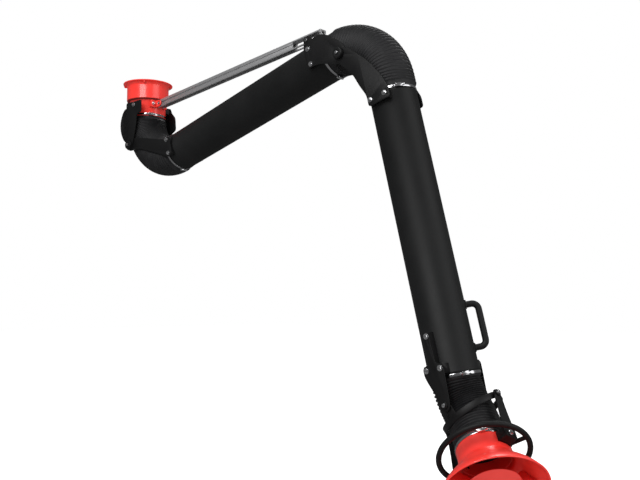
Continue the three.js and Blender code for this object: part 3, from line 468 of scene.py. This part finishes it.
# Hoses: a straight ribbed tube is spun, then laid along its path
def straight_then_bend(start, aim, lead_in, bend_r, degrees, lead_out):
    """A path of line, round bend in the XZ plane and line: place and heading by distance, and its length."""
    start, aim = Vector(start), Vector(aim)
    sign = math.copysign(1, degrees)
    side = Vector((aim.z, 0, -aim.x)) * sign
    angle = math.radians(abs(degrees))
    arc = bend_r * angle
    corner = start + aim * lead_in + side * bend_r

    def at(along):
        swing = min(max((along - lead_in) / bend_r, 0), angle)
        heading = aim * math.cos(swing) + side * math.sin(swing)
        bent = corner - side * (bend_r * math.cos(swing)) + aim * (bend_r * math.sin(swing))
        return bent + heading * (min(along - lead_in, 0) + max(along - lead_in - arc, 0)), heading

    return at, lead_in + arc + lead_out


def along_curve(points, from_share=0.0, to_share=1.0):
    """The same for a polyline, between two shares of its length."""
    runs = [0.0]
    for a, b in zip(points, points[1:]):
        runs.append(runs[-1] + (b - a).length)
    low, high = runs[-1] * from_share, runs[-1] * to_share

    def at(along):
        want = min(max(low + along, 0), runs[-1] - 1e-6)
        i = max(k for k in range(len(runs) - 1) if runs[k] <= want)
        share = (want - runs[i]) / (runs[i + 1] - runs[i])
        before = (points[i + 1] - points[max(i - 1, 0)]).normalized()
        after = (points[min(i + 2, len(points) - 1)] - points[i]).normalized()
        return points[i].lerp(points[i + 1], share), before.lerp(after, share).normalized()

    return at, high - low


def rib_profile(length, rib_r, rib_depth, cuffs):
    """Outline of a ribbed hose: rounded ribs between cuffs that fit the tubes, then the bore, back again."""
    valley = rib_r - rib_depth
    first, last = cuffs
    ribbed = length - first - last
    ribs = round(ribbed / RIB_PITCH)
    pitch = ribbed / ribs
    crest = ((0.0, 0.0), (0.2, 0.25), (0.36, 0.85), (0.5, 1.0), (0.64, 0.85), (0.8, 0.25))
    outline = [(0, CUFF_R), (first * 0.4, CUFF_R)] if first else [(0, valley)]
    for rib in range(ribs):
        outline += [(first + (rib + share) * pitch, valley + rib_depth * rise) for share, rise in crest]
    outline.append((length - last, valley))
    if last:
        outline += [(length - last * 0.4, CUFF_R), (length, CUFF_R)]
    bore = valley - HOSE_WALL
    steps = max(8, round(length / 20))
    outline += [(length * (1 - i / steps), bore) for i in range(steps + 1)]
    return [point for i, point in enumerate(outline) if i == 0 or math.dist(point, outline[i - 1]) > 0.01]


def lay_hose(node, path, section, ribs, cuffs):
    """A hose along a path in a section's frame, running between two bodies from one end to the other, fixed
    in its rest shape on neither.
    """
    at, length = path
    bm = bmesh.new()
    add_turned(bm, rib_profile(length, *ribs, cuffs), Matrix(), 56)
    level = Vector((0, 1, 0))
    for vert in bm.verts:
        spot, heading = at(vert.co.x / MM)
        rise = heading.cross(level).normalized() * -1
        vert.co = spot * MM + (rise * vert.co.z + rise.cross(heading) * vert.co.y)
    bmesh.ops.transform(bm, matrix=section, verts=bm.verts)
    bmesh.ops.recalc_face_normals(bm, faces=bm.faces)
    hose = piece_from(bm, node, 60, rides=False)
    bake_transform(hose)


base_turn = 90 + LIFT
base_reach = BASE_BEND_R * math.tan(math.radians(base_turn / 2))
base_lead = BASE_PIVOT_DEPTH - COLLAR_DEPTH - TUBE_1[2] / math.cos(math.radians(LIFT)) - base_reach
base_out = TUBE_1[0] - TUBE_1[2] * math.tan(math.radians(LIFT)) - base_reach
collar_mouth = (0, 0, -COLLAR_DEPTH)
lay_hose(
    "base_hose", straight_then_bend(collar_mouth, (0, 0, -1), base_lead, BASE_BEND_R, -base_turn, base_out),
    Matrix(), HOSE_RIBS, (CUFF, CUFF))

fold = math.radians(FOLD)
elbow_reach = ELBOW_BEND_R * math.tan(fold / 2)
axis_2 = Vector((math.cos(fold), 0, -math.sin(fold)))
rise_2 = Vector((math.sin(fold), 0, math.cos(fold)))
corner_run = (TUBE_1[2] - ELBOW_Z - TUBE_2[2] * rise_2.z) / axis_2.z
crossing = ELBOW_X + TUBE_2[2] * rise_2.x + corner_run * axis_2.x
elbow_lead = crossing - elbow_reach - TUBE_1[1]
elbow_out = TUBE_2[0] - corner_run - elbow_reach
tube_1_end = (TUBE_1[1], 0, TUBE_1[2])
lay_hose(
    "elbow_hose", straight_then_bend(tube_1_end, (1, 0, 0), elbow_lead, ELBOW_BEND_R, FOLD, elbow_out),
    ARM_1, HOSE_RIBS, (LONG_CUFF, CUFF))


def hood_hose_line():
    """The hood hose's middle line in the gimbal's frame: straight out of tube 2, straight into the neck."""
    tilt, swing = math.radians(GIMBAL_TILT), math.radians(HOOD_TURN)
    leave = Vector((math.cos(tilt), 0, -math.sin(tilt)))
    enter = Vector((math.cos(swing), -math.sin(swing), 0))
    above = Vector((math.sin(tilt), 0, math.cos(tilt)))
    first = leave * (TUBE_2[1] - GIMBAL_X) + above * (TUBE_2[2] - GIMBAL_Z)
    last = Vector((RING_OFFSET, 0, 0)) + enter * NECK_START
    bend = (first, first + leave * HOOD_HOSE_LEAD, last - enter * HOOD_HOSE_RUN_IN, last)
    points = []
    for i in range(HOOD_HOSE_STEPS + 1):
        t = i / HOOD_HOSE_STEPS
        weights = ((1 - t) ** 3, 3 * t * (1 - t) ** 2, 3 * t * t * (1 - t), t ** 3)
        points.append(sum((p * w for p, w in zip(bend, weights)), Vector()))
    return points


hose_line = hood_hose_line()
runs = [(b - a).length for a, b in zip(hose_line, hose_line[1:])]
ring_index = next(i for i, point in enumerate(hose_line) if point.x >= RING_OFFSET)
ring_share = sum(runs[:ring_index]) / sum(runs)
lay_hose(
    "hood_hose_upper", along_curve(hose_line, 0, ring_share), GIMBAL, HOOD_HOSE_RIBS, (HOOD_CUFF, 0))
lay_hose(
    "hood_hose_lower", along_curve(hose_line, ring_share, 1), GIMBAL, HOOD_HOSE_RIBS, (0, HOOD_CUFF))


# Turned sheet metal: flange, slide ring, collar, tubes, gimbal ring and hood
def turned_piece(node, profile, matrix, steps, ease=0.0):
    bm = bmesh.new()
    add_turned(bm, profile, matrix, steps, ease)
    piece_from(bm, node)


def arc_points(middle, radius, first, last, steps):
    """Points on an arc in the (along, radius) plane."""
    angles = [math.radians(first + (last - first) * i / steps) for i in range(steps + 1)]
    return [(middle[0] + radius * math.sin(a), middle[1] + radius * math.cos(a)) for a in angles]


flange_outline = [
    (0, SLEEVE_INNER_R), (0, FLANGE_R - 1), (0.8, FLANGE_R), (3, FLANGE_R), (4.2, FLANGE_R - 0.6)]
flange_outline += arc_points((5 + FLARE_R, SLEEVE_R + FLARE_R), FLARE_R, -90, -180, 12)
flange_outline += [(SEAM_DEPTH - 1, SLEEVE_R), (SEAM_DEPTH, SLEEVE_R - 1), (SEAM_DEPTH, SLEEVE_INNER_R)]
turned_piece("mounting_flange", flange_outline, DOWN, 96)

slide_r = SLEEVE_INNER_R - FIT_GAP
lip_top = SEAM_DEPTH + FIT_GAP
lip_end = SEAM_DEPTH + 3
turned_piece("slide_ring", [
    (SLIDE_TOP, TUBE_R + 1), (lip_end, TUBE_R + 1), (lip_end, SLEEVE_R - 1), (lip_top, SLEEVE_R - 1),
    (lip_top, slide_r), (SLIDE_TOP, slide_r)], DOWN, 96, 0.3)

bore_r = TUBE_R - TUBE_WALL
shoulder_r = SLEEVE_INNER_R - 1
shoulder_end = SLIDE_TOP - 0.5
turned_piece("swivel_collar", [
    (COLLAR_TOP, bore_r), (COLLAR_TOP, shoulder_r), (shoulder_end, shoulder_r), (shoulder_end, TUBE_R),
    (COLLAR_DEPTH, TUBE_R), (COLLAR_DEPTH, bore_r)], DOWN, 96, 0.4)


def rolled_tube(node, tube, matrix):
    """A duct tube with a small rolled bead at each end."""
    start, end, _ = tube
    bead = [(0, -TUBE_WALL), (0, -0.5), (0.6, 0), (13.5, 0), (15, 0.9), (17, 1.2), (19, 0.9), (20.5, 0)]
    outline = [(start + x, TUBE_R + rise) for x, rise in bead]
    outline += [(end - x, TUBE_R + rise) for x, rise in reversed(bead)]
    turned_piece(node, outline, matrix, 96)


rolled_tube("tube_1", TUBE_1, DUCT_1)
rolled_tube("tube_2", TUBE_2, DUCT_2)


def gimbal_ring():
    """The ring that carries the hood's pivots, with an arm back to each pivot on the bracket."""
    bm = bmesh.new()
    near, far = RING_OFFSET - 10, RING_OFFSET + 10
    band = [(near, RING_INNER_R), (far, RING_INNER_R), (far, RING_OUTER_R), (near, RING_OUTER_R)]
    add_turned(bm, band, GIMBAL, 96, 0.8)
    for _, side in SIDES:
        add_rod(bm, RING_INNER_R, RING_OUTER_R, 13, GIMBAL @ across(side), 40, 0.8)
        low, high = sorted((RING_INNER_R * side, RING_OUTER_R * side))
        add_block(bm, (0, low, -12), (RING_OFFSET, high, 12), GIMBAL)
    piece_from(bm, "gimbal_ring")


gimbal_ring()


def flare_radius(x):
    """Outer radius of the hood at a distance from its pivot."""
    t = max(0, (x - FLARE_START) / (RIM_X - FLARE_START))
    swell = math.sin(math.pi / 2 * t ** 1.25) * 0.62 + t * 0.38
    return NECK_R + (RIM_R - NECK_R) * swell


def hood_outline():
    """Neck and flare of the hood with a rolled rim."""
    steps = 24
    flare = [FLARE_START + (RIM_X - FLARE_START) * i / steps for i in range(steps + 1)]
    outer = [
        (NECK_START + FIT_GAP, NECK_R), (NECK_LAP, NECK_R), (NECK_LAP + 0.6, NECK_R + 1),
        (FLARE_START - 8, NECK_R + 1)]
    outer += [(x, flare_radius(x) + 1 - i / steps) for i, x in enumerate(flare)]
    lip = outer.pop()
    rim = arc_points((lip[0] - 2, lip[1] - 1.5), 2.4, -20, 200, 8)
    inner = [(x, radius - HOOD_WALL) for x, radius in reversed(outer)]
    return outer + rim + inner


turned_piece("hood_shell", hood_outline(), HOOD, 128)


def hood_baffle():
    """A shallow disc in the hood's mouth on two fins that reach back to the flare."""
    bm = bmesh.new()
    add_turned(bm, [
        (BAFFLE_X, 0), (BAFFLE_X, BAFFLE_R - 1), (BAFFLE_X + 1, BAFFLE_R), (BAFFLE_X + 2, BAFFLE_R - 1),
        (BAFFLE_X + 2, 0)], HOOD, 96)
    wall = [(x, flare_radius(x) - HOOD_WALL - FIT_GAP) for x in range(FIN_END, FIN_START - 1, -6)]
    outline = [(BAFFLE_X + 1, 36), (BAFFLE_X + 1, 76), *wall, (FIN_START, 92), (240, 50)]
    for angle in FIN_ANGLES:
        shape = bmesh.new()
        rims = [[shape.verts.new((x * MM, y * MM, z * MM)) for x, z in outline] for y in (-1.5, 1.5)]
        shape.faces.new(rims[0])
        shape.faces.new(rims[1])
        for k, vert in enumerate(rims[0]):
            shape.faces.new((rims[0][k - 1], vert, rims[1][k], rims[1][k - 1]))
        bmesh.ops.recalc_face_normals(shape, faces=shape.faces)
        ease_edges(shape, keen_edges(shape), 0.4)
        join_into(bm, shape, HOOD @ turn(angle, "X"))
    piece_from(bm, "hood_baffle")


hood_baffle()


# Hose clamps: a bright band with a worm housing and its screw
def hose_clamp(node, start, radius, matrix, housing_turn):
    band = bmesh.new()
    near, far = start + 1, start + 10
    low, high = radius + FIT_GAP, radius + 1.8
    add_turned(band, [(near, low), (far, low), (far, high), (near, high)], matrix, 96, 0.3)
    piece_from(band, node).data.materials[0] = CLAMP_BAND
    housing = bmesh.new()
    seat = matrix @ turn(housing_turn, "X")
    add_block(housing, (start - 0.5, -11, radius + 2), (start + 11.5, 11, radius + 9), seat, 1.5)
    screw = seat @ shift(start + 5.5, 0, radius + 6.5) @ turn(90, "Z")
    add_rod(housing, -14, 15, 4, screw, 20, 0.4)
    add_hex(housing, 15, 4, 4.6, screw, 0.6)
    bright_trim(housing, node + "_housing", BODY_OF[node])


hose_clamp("collar_clamp", COLLAR_DEPTH - 12, TUBE_R, DOWN, 25)
hose_clamp("tube_1_base_clamp", TUBE_1[0] + 1, TUBE_R, DUCT_1, 180)
hose_clamp("tube_1_elbow_clamp", TUBE_1[1] - 12, TUBE_R, DUCT_1, 180)
hose_clamp("tube_2_elbow_clamp", TUBE_2[0] + 1, TUBE_R, DUCT_2, 40)
hose_clamp("tube_2_hood_clamp", TUBE_2[1] - 12, TUBE_R, DUCT_2, 35)
hose_clamp("hood_clamp", NECK_START + 1, NECK_R, HOOD, 45)


# Brackets and the rail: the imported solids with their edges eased
def eased_piece(node, offset=0.9):
    bm = bmesh.new()
    bm.from_mesh(frame["nodes"][node].data)
    bmesh.ops.remove_doubles(bm, verts=bm.verts, dist=2e-6)
    bmesh.ops.dissolve_limit(bm, angle_limit=math.radians(0.8), verts=bm.verts, edges=bm.edges)
    ease_edges(bm, keen_edges(bm, 40), offset)
    piece_from(bm, node, 40)


for word, _ in SIDES:
    for bracket in ("fork_plate", "base_strap", "elbow_plate", "elbow_strap", "hood_bracket"):
        eased_piece(f"{bracket}_{word}")
for word, _ in HOOD_SIDES:
    eased_piece(f"hood_ear_{word}")
for node in ("rail_clevis", "rail_guide_bracket", "stay_rail"):
    eased_piece(node, 0.6)


# Fasteners
def bolts_piece(node, places, head_r=HEAD_R):
    """One piece of several bolts, each a frame with its shank start and head seat."""
    bm = bmesh.new()
    for matrix, shank_from, head_at in places:
        add_bolt(bm, shank_from, head_at, matrix, head_r)
    piece_from(bm, node)


def stud_band_piece(node, x, section, axis_z, head_y):
    """A clamping band inside a tube, with two studs out of each side."""
    bm = bmesh.new()
    near, far = x - 9, x + 9
    low, high = bore_r - 6, bore_r - 2
    duct = section @ shift(0, 0, axis_z)
    add_turned(bm, [(near, low), (far, low), (far, high), (near, high)], duct, 64, 0.4)
    for _, side in SIDES:
        for rise in (-30, 30):
            add_bolt(bm, 66, head_y, section @ across(side, x, axis_z + rise))
    piece_from(bm, node)


for i in range(4):
    angle = math.radians(45 + 90 * i)
    spot = shift(FLANGE_BOLT_CIRCLE_R * math.cos(angle), FLANGE_BOLT_CIRCLE_R * math.sin(angle), 0) @ DOWN
    bolts_piece(f"flange_bolt_{i + 1}", [(spot, 0.5, 7.5)], 5.4)
bolts_piece("clevis_bolts", [(shift(0, 30 * side, RAIL_HINGE_Z), 60, 86 + FIT_GAP) for _, side in SIDES])
stud_band_piece("base_strap_studs", 250, ARM_1, TUBE_1[2], INNER_SEAT)
stud_band_piece("elbow_plate_studs", 1096, ARM_1, TUBE_1[2], INNER_SEAT)
stud_band_piece("elbow_strap_studs", 213, ARM_2, TUBE_2[2], OUTER_SEAT)
bracket_bolts = [(1020, TUBE_2[2]), (1122, TUBE_2[2] - 25), (1122, TUBE_2[2] + 25)]
for word, side in SIDES:
    bolts_piece(f"fork_bolt_{word}", [(across(side, 29, -112), 66, OUTER_SEAT)])
    places = [(ARM_2 @ across(side, x, z), 64, GIMBAL_SEAT) for x, z in bracket_bolts]
    bolts_piece(f"hood_bracket_bolts_{word}", places)
for word, side in HOOD_SIDES:
    ear = HOOD @ shift(EAR_BOLT_X, 0, 0) @ turn(-90 * side, "Y")
    bolts_piece(f"hood_ear_bolt_{word}", [(ear, 70, GIMBAL_SEAT)])
rail_up = turn(-90, "Y")
rail_top = 16.9
bolts_piece("rail_adjuster", [(RAIL @ shift(x, 0, 0) @ rail_up, 0, rail_top) for x in (690, 712)], 6)
rail_end_bolts = bmesh.new()
for x in (934, 954):
    add_bolt(rail_end_bolts, 12, rail_top, RAIL @ shift(x, 0, 0) @ rail_up, 6)
bright_trim(rail_end_bolts, "rail_end_bolts", "rail")


def cross_pin(node, section, x, z):
    """A pin through two cheeks, with a head at one end and a nut at the other."""
    bm = bmesh.new()
    cheek_half, head_high = 16, 4
    seat = cheek_half + PLATE + FIT_GAP
    add_rod(bm, -seat - head_high, seat, BOLT_R, section @ across(1, x, z), 24, 0.4)
    for _, side in SIDES:
        add_hex(bm, seat, head_high, HEAD_R, section @ across(side, x, z), 0.8)
    piece_from(bm, node)


guide = ARM_1.inverted() @ RAIL @ (Vector(RAIL_PIN) * MM) / MM
cross_pin("rail_hinge_pin", Matrix(), RAIL_HINGE_X, RAIL_HINGE_Z)
cross_pin("rail_guide_pin", ARM_1, guide.x, guide.z)


def pivot_nut(node, start, high, matrix):
    """The bright nut on a pivot's end."""
    nut = bmesh.new()
    add_hex(nut, start, high, NUT_R, matrix, 0.9)
    bright_trim(nut, node + "_nut", BODY_OF[node])


def pivot_knob(node, matrix, knob_high):
    """A side pivot: shank, inner nut and a round knob with a dished face for its outer nut."""
    bm = bmesh.new()
    plate_to = OUTER_PLATE_Y + PLATE
    add_hex(bm, INNER_PLATE_Y - 3, 2.6, 9, matrix, 0.4)
    add_rod(bm, INNER_PLATE_Y - 1, plate_to + 2, BOLT_R, matrix, 20)
    face = plate_to + knob_high
    dish = face - 1.5
    add_turned(bm, [
        (OUTER_SEAT, 0), (OUTER_SEAT, KNOB_R), (face - 2.5, KNOB_R), (face - 0.7, KNOB_R - 0.8),
        (face, KNOB_R - 2.5), (face, 9.5), (dish, 8.6), (dish, 0)], matrix, 40, 0.3)
    pivot_nut(node, dish, 5, matrix)
    piece_from(bm, node)


def gimbal_pivot(node, matrix):
    """A pivot through the gimbal ring and one plate, with a spacer between them and a boss outside."""
    bm = bmesh.new()
    seat, boss_r = GIMBAL_SEAT, 11
    boss = seat + 4
    add_hex(bm, RING_INNER_R - 3, 2, HEAD_R, matrix, 0.4)
    add_rod(bm, RING_INNER_R - 2, seat + 1, BOLT_R, matrix, 20)
    add_rod(bm, RING_OUTER_R + 0.6, GIMBAL_PLATE_Y - 0.4, HEAD_R, matrix, 32, 0.3)
    crown = [(seat, 0), (seat, boss_r), (boss - 1, boss_r), (boss, boss_r - 1), (boss, 0)]
    add_turned(bm, crown, matrix, 36, 0.3)
    pivot_nut(node, boss, 4.6, matrix)
    piece_from(bm, node)


for word, side in SIDES:
    pivot_knob(f"base_pivot_{word}", ARM_1 @ across(side), BASE_KNOB_HIGH)
    pivot_knob(f"elbow_pivot_{word}", ARM_2 @ across(side), ELBOW_KNOB_HIGH)
    gimbal_pivot(f"gimbal_pivot_{word}", GIMBAL @ across(side))
for word, side in HOOD_SIDES:
    gimbal_pivot(f"hood_pivot_{word}", HOOD @ turn(-90 * side, "Y"))


# Handles
def ring_handle():
    """A round bar ring about the hood's neck, on two spokes with feet."""
    bm = bmesh.new()
    bar = arc_points((RING_HANDLE_X, RING_HANDLE_R), RING_HANDLE_BAR_R, 0, 345, 23)
    add_turned(bm, bar, HOOD, 96)
    foot = NECK_R + 1
    spoke_end = RING_HANDLE_R - 4
    outline = [
        (foot, 0), (foot, 9), (foot + 2.5, 9), (foot + 4, SPOKE_R), (spoke_end - 6, SPOKE_R),
        (spoke_end - 2, 7), (spoke_end, 0)]
    for angle in SPOKE_ANGLES:
        spoke = HOOD @ shift(RING_HANDLE_X, 0, 0) @ turn(angle, "X") @ turn(-90, "Y")
        add_turned(bm, outline, spoke, 24)
    piece_from(bm, "ring_handle")


ring_handle()


def bow_handle():
    """A round bar swept round two bends, standing on the tube on two pads."""
    bm = bmesh.new()
    seat = DUCT_2 @ turn(HANDLE_TURN, "X")
    bend = HANDLE_BEND_R
    bend_z = TUBE_R + HANDLE_STAND - HANDLE_BAR_R - bend
    line = [(HANDLE_START, TUBE_R)]
    line += arc_points((HANDLE_START + bend, bend_z), bend, 270, 360, 8)
    line += arc_points((HANDLE_END - bend, bend_z), bend, 360, 450, 8)
    line.append((HANDLE_END, TUBE_R))
    at, length = along_curve([Vector((x, 0, z)) for x, z in line])
    steps = 72
    outline = [(0, 0)] + [(length * i / steps, HANDLE_BAR_R) for i in range(steps + 1)] + [(length, 0)]
    add_turned(bm, outline, Matrix(), 24)
    level = Vector((0, 1, 0))
    for vert in bm.verts:
        spot, heading = at(vert.co.x / MM)
        rise = level.cross(heading)
        vert.co = spot * MM + rise * vert.co.z + level * vert.co.y
    bmesh.ops.transform(bm, matrix=seat, verts=bm.verts)
    bmesh.ops.recalc_face_normals(bm, faces=bm.faces)
    for x in (HANDLE_START, HANDLE_END):
        add_block(bm, (x - 14, -13, TUBE_R - 1), (x + 14, 13, TUBE_R + 3), seat, 1.2)
    piece_from(bm, "bow_handle")


bow_handle()


# Floor, soft light and a pale surround
def soft_lamp(name, spot, target, size, power):
    data = bpy.data.lights.new(name, "AREA")
    data.shape = "RECTANGLE"
    data.size, data.size_y = size
    data.energy = power
    lamp = bpy.data.objects.new(name, data)
    lamp.location = spot
    lamp.rotation_euler = (Vector(target) - Vector(spot)).to_track_quat("-Z", "Y").to_euler()
    bpy.context.scene.collection.objects.link(lamp)


soft_lamp("key_light", (1.75, -3.4, 1.7), (0.8, 0, -0.7), (2.6, 2.6), 158)
soft_lamp("fill_light", (4.2, 0.6, 0.2), (1.2, 0, -0.8), (2.4, 3.0), 46)
soft_lamp("back_light", (0.2, 2.8, 3.2), (0.8, 0, -0.6), (2.6, 2.0), 80)


def pale_floor():
    """A wide floor below the arm: near white to the eye, dim in reflections, still taking the shadow."""
    bm = bmesh.new()
    bmesh.ops.create_grid(bm, x_segments=1, y_segments=1, size=30, matrix=Matrix.Translation((0, 0, FLOOR_Z)))
    mesh = bpy.data.meshes.new("floor")
    bm.to_mesh(mesh)
    bm.free()
    floor = bpy.data.objects.new("floor", mesh)
    bpy.context.scene.collection.objects.link(floor)
    finish = Finish("pale_floor", Roughness=0.9, Specular_IOR_Level=0.1, Emission_Strength=1.0)
    tone = finish.noise(finish.place(), 3)
    eye = finish.node("ShaderNodeLightPath", "Is Camera Ray", {}, {})
    mirrored = finish.node("ShaderNodeLightPath", "Is Glossy Ray", {}, {})
    shade = eye * 0.16 - mirrored * 0.66 + tone * 0.04 + 0.8
    mesh.materials.append(finish.feed(
        Base_Color=finish.blend(shade, (0.0, 0.0, 0.0), (0.94, 0.94, 0.94)),
        Emission_Color=finish.blend(eye, (0.0, 0.0, 0.0), (0.62, 0.62, 0.62))))


pale_floor()


def pale_world():
    """An even pale surround: white to the eye, softer as light, dim in reflections."""
    world = bpy.data.worlds.new("pale_surround")
    bpy.context.scene.world = world
    world.use_nodes = True
    tree = world.node_tree
    seen = tree.nodes.new("ShaderNodeLightPath")
    steady = tree.nodes.new("ShaderNodeValue")
    steady.outputs["Value"].default_value = 0.55
    strength = steady.outputs["Value"]
    for ray, value in (("Is Glossy Ray", 0.14), ("Is Camera Ray", 1.0)):
        pick = tree.nodes.new("ShaderNodeMix")
        tree.links.new(seen.outputs[ray], pick.inputs["Factor"])
        tree.links.new(strength, pick.inputs["A"])
        pick.inputs["B"].default_value = value
        strength = pick.outputs["Result"]
    background = tree.nodes["Background"]
    background.inputs["Color"].default_value = (1, 1, 1, 1)
    tree.links.new(strength, background.inputs["Strength"])


pale_world()
